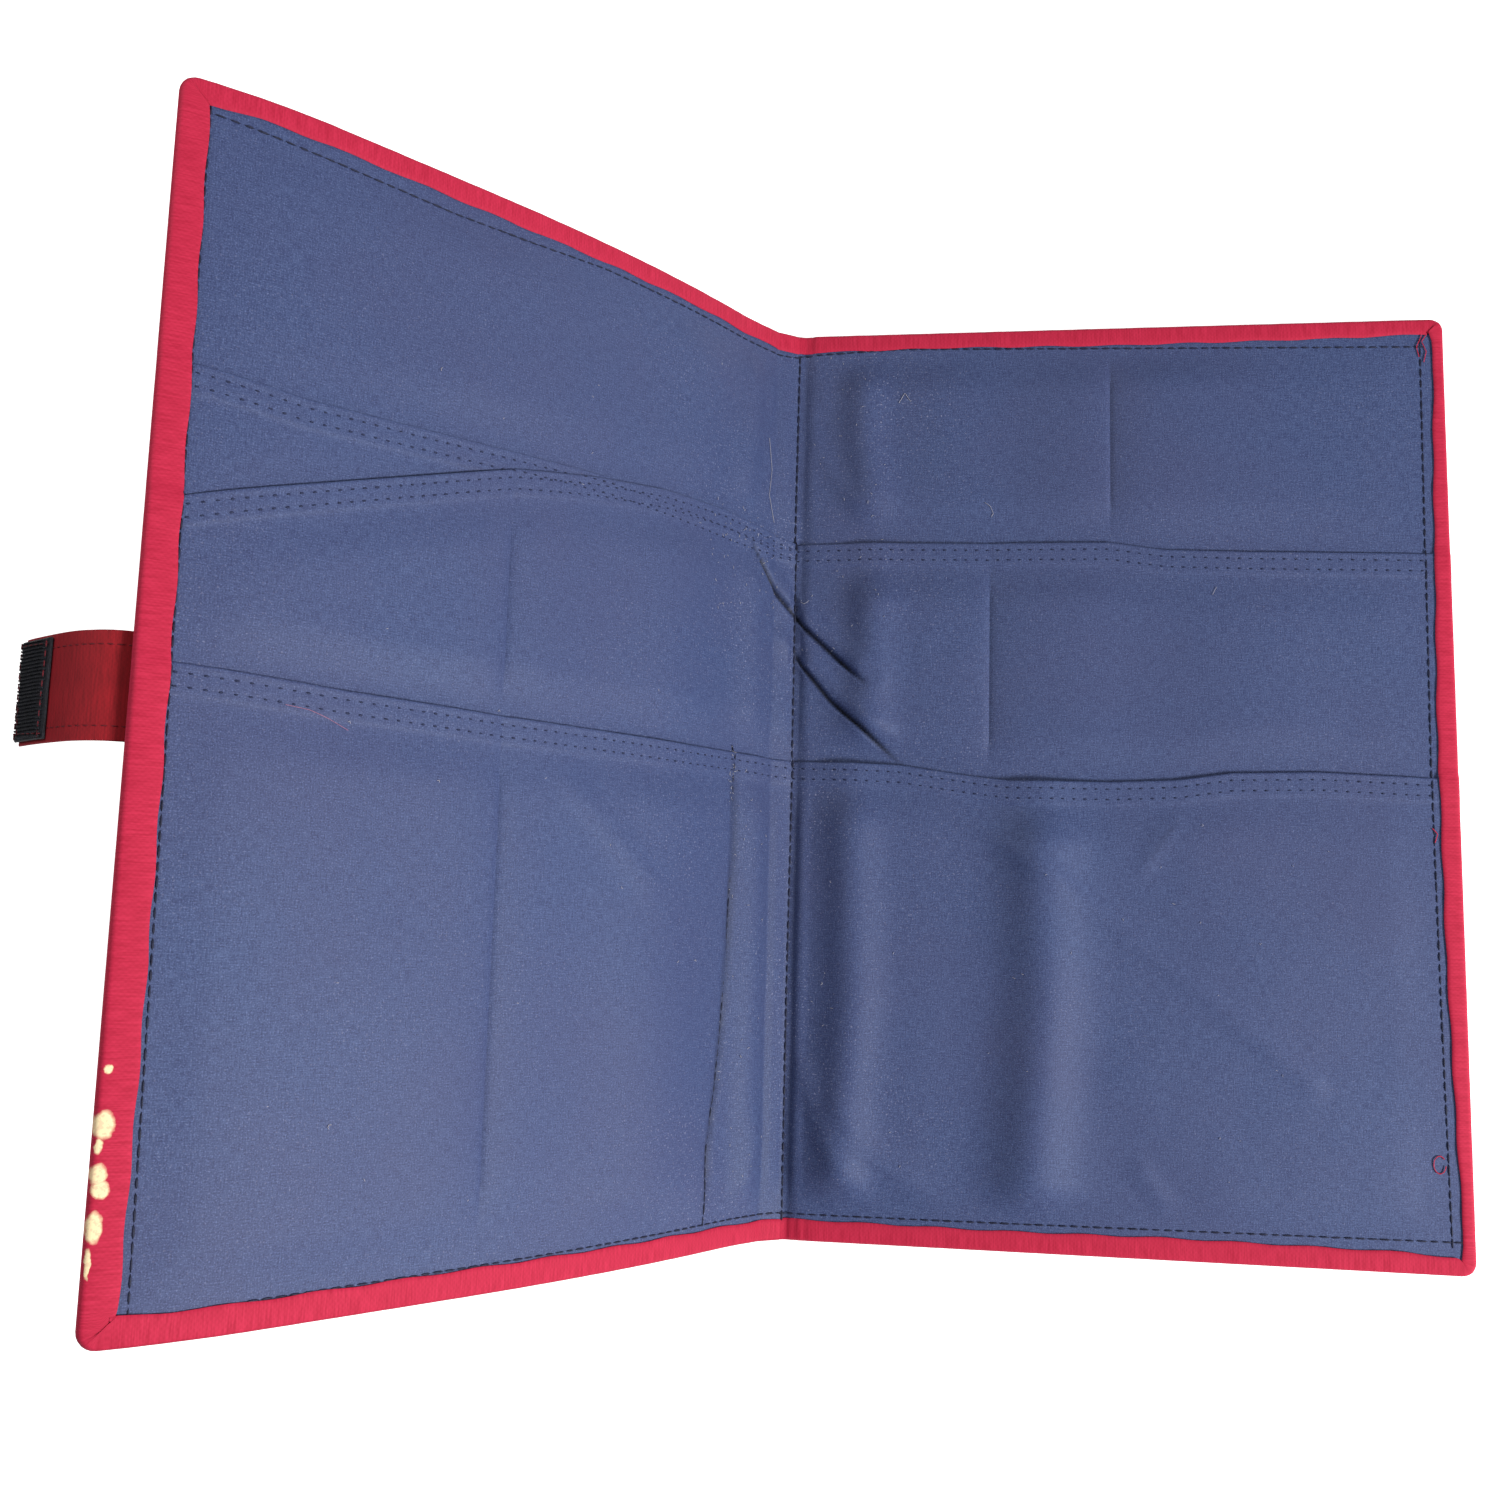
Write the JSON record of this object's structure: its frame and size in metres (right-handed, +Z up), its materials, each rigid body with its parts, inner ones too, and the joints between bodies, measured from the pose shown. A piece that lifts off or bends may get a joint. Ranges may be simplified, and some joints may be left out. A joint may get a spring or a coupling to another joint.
{
  "type": "jute file folder",
  "caption": "Open book-style document folder of jute and board, lined in blue cotton with sewn pockets, red bound edges and a strap that closes with hook and loop tape.",
  "frame": {"origin": "on the table that the open folder lies on, under the middle of its bounding box", "axes": "+X from the spine to the back cover's free edge, +Y up the spine towards the top edge, +Z up from the back cover"},
  "size_m": [0.4354, 0.343, 0.1979],
  "materials": {
    "jute": "coarse plain-woven jute hessian",
    "board": "plain grey board, hidden between jute and lining",
    "lining": "blue woven cotton with pressed folds and soft creases",
    "binding": "red cotton twill tape, stained and rubbed along one edge",
    "tape": "black hook and loop tape"
  },
  "bodies": {
    "back_cover": {"jute_back": "jute", "board_back": "board", "lining_back": "lining", "upper_pocket_back": "lining", "lower_pocket_back": "lining", "binding_back": "binding", "loop_tape": "tape"},
    "spine": {"jute_spine": "jute", "lining_spine": "lining", "upper_pocket_spine": "lining", "lower_pocket_spine": "lining", "binding_spine_top": "binding", "binding_spine_bottom": "binding"},
    "front_cover": {"jute_front": "jute", "board_front": "board", "lining_front": "lining", "upper_pocket_front": "lining", "slanted_pocket_front": "lining", "lower_pocket_front": "lining", "binding_front": "binding", "strap": "binding", "hook_tape": "tape"}
  },
  "joints": [
    {"name": "spine_hinge", "type": "hinge", "parent": "back_cover", "child": "spine", "pos_m": [-0.01971, 0, 0.00115], "axis": [0, 1, 0], "range_deg": [-30, 60]},
    {"name": "front_hinge", "type": "hinge", "parent": "spine", "child": "front_cover", "pos_m": [-0.03183, 0, 0.00815], "axis": [0, 1, 0], "range_deg": [-22, 60]}
  ]
}
